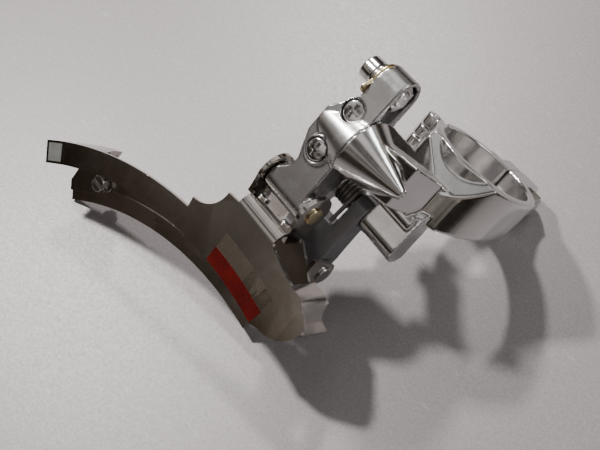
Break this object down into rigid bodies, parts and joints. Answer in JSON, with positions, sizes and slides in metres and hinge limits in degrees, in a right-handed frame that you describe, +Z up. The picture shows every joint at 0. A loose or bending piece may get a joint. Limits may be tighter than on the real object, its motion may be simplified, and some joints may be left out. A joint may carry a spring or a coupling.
{
  "type": "front derailleur",
  "caption": "Front derailleur with a hinged band clamp, a sprung parallelogram linkage, limit screws, a cable anchor bolt and a deep curved chain cage that swings outboard to shift.",
  "frame": {"origin": "centre of the seat tube clamp's bore, at half its height", "axes": "+Z up the seat tube, +X to the front of the bicycle, +Y to the rider's left, so the chain cage hangs towards -Y and -Z and its tail points to -X"},
  "size_m": [0.1221, 0.0788, 0.1138],
  "materials": {
    "polished_alloy": "bright polished cast aluminium",
    "satin_alloy": "satin polished forged aluminium",
    "dark_alloy": "dark as-cast aluminium",
    "chromed_sheet": "chromed pressed steel sheet, mirror bright",
    "bright_screw": "bright plated screw steel",
    "pin_steel": "ground steel",
    "yellow_zinc": "yellow passivated zinc on steel",
    "washer_steel": "plain zinc plated steel",
    "spring_steel": "dark oiled spring steel",
    "bush_plastic": "ivory acetal bearing plastic",
    "red_sticker": "glossy red printed vinyl",
    "clear_film": "clear protective film over the plate",
    "grey_label": "matt silver-grey printed vinyl"
  },
  "bodies": {
    "body": {"clamp_body": "polished_alloy", "band_hinge_pin": "pin_steel", "clamp_nut": "bright_screw", "outer_pivot_pin": "pin_steel", "inner_pivot_pin": "pin_steel", "body_pin_clips": "spring_steel", "return_spring": "spring_steel"},
    "band": {"clamp_band": "polished_alloy"},
    "bolt": {"clamp_bolt": "bright_screw", "clamp_washer": "washer_steel"},
    "outer_link": {"outer_link": "satin_alloy", "outer_link_bushes": "bush_plastic", "cable_washer": "yellow_zinc", "cable_nut": "bright_screw"},
    "cable_bolt": {"cable_bolt": "bright_screw"},
    "limit_low": {"limit_screw_low": "bright_screw"},
    "limit_high": {"limit_screw_high": "bright_screw"},
    "cage": {"outer_cage_plate": "chromed_sheet", "inner_cage_plate": "chromed_sheet", "cage_rivets": "bright_screw", "outer_cage_pin": "yellow_zinc", "inner_cage_pin": "pin_steel", "cage_pin_clips": "spring_steel", "cage_screw": "bright_screw", "cage_nut": "bright_screw", "alignment_sticker": "red_sticker", "sticker_film": "clear_film", "tail_label": "grey_label"},
    "inner_link": {"inner_link": "dark_alloy", "inner_link_bushes": "bush_plastic"}
  },
  "joints": [
    {"name": "outer_link_pivot", "type": "hinge", "parent": "body", "child": "outer_link", "pos_m": [-0.02515, -0.034, -0.0085], "axis": [-1, 0, 0], "range_deg": [0, 45], "stiffness_Nm_per_rad": 0.08, "springref_deg": -85.94},
    {"name": "cage_pivot", "type": "hinge", "parent": "outer_link", "child": "cage", "pos_m": [-0.02515, -0.037, -0.031], "axis": [-1, 0, 0], "range_deg": [-45, 0]},
    {"name": "inner_link_pivot", "type": "hinge", "parent": "body", "child": "inner_link", "pos_m": [-0.01825, -0.02, -0.0246], "axis": [-1, 0, 0], "range_deg": [0, 45], "deforming": ["return_spring"]},
    {"name": "clamp_bolt_slide", "type": "slide", "parent": "body", "child": "bolt", "axis": [-1, 0, 0], "range_m": [0, 0.006]},
    {"name": "band_hinge", "type": "hinge", "parent": "body", "child": "band", "pos_m": [-0.0203, -0.00285, 0], "axis": [0, 0, 1], "range_deg": [0, 8]},
    {"name": "cable_bolt_turn", "type": "hinge", "parent": "outer_link", "child": "cable_bolt", "pos_m": [-0.0307, -0.0323, 0.0093], "axis": [-1, 0, 0], "continuous": true},
    {"name": "limit_low_turn", "type": "hinge", "parent": "outer_link", "child": "limit_low", "pos_m": [-0.02515, -0.0425, -0.0152], "axis": [0, 1, 0], "continuous": true},
    {"name": "limit_high_turn", "type": "hinge", "parent": "outer_link", "child": "limit_high", "pos_m": [-0.02515, -0.0392, -0.0008], "axis": [0, 0.9854, -0.1702], "continuous": true}
  ],
  "couplings": [
    {"joint": "cage_pivot", "follows": "outer_link_pivot", "ratio": -1},
    {"joint": "inner_link_pivot", "follows": "outer_link_pivot", "ratio": 1},
    {"joint": "band_hinge", "follows": "clamp_bolt_slide", "rad_per_m": 23.27}
  ]
}
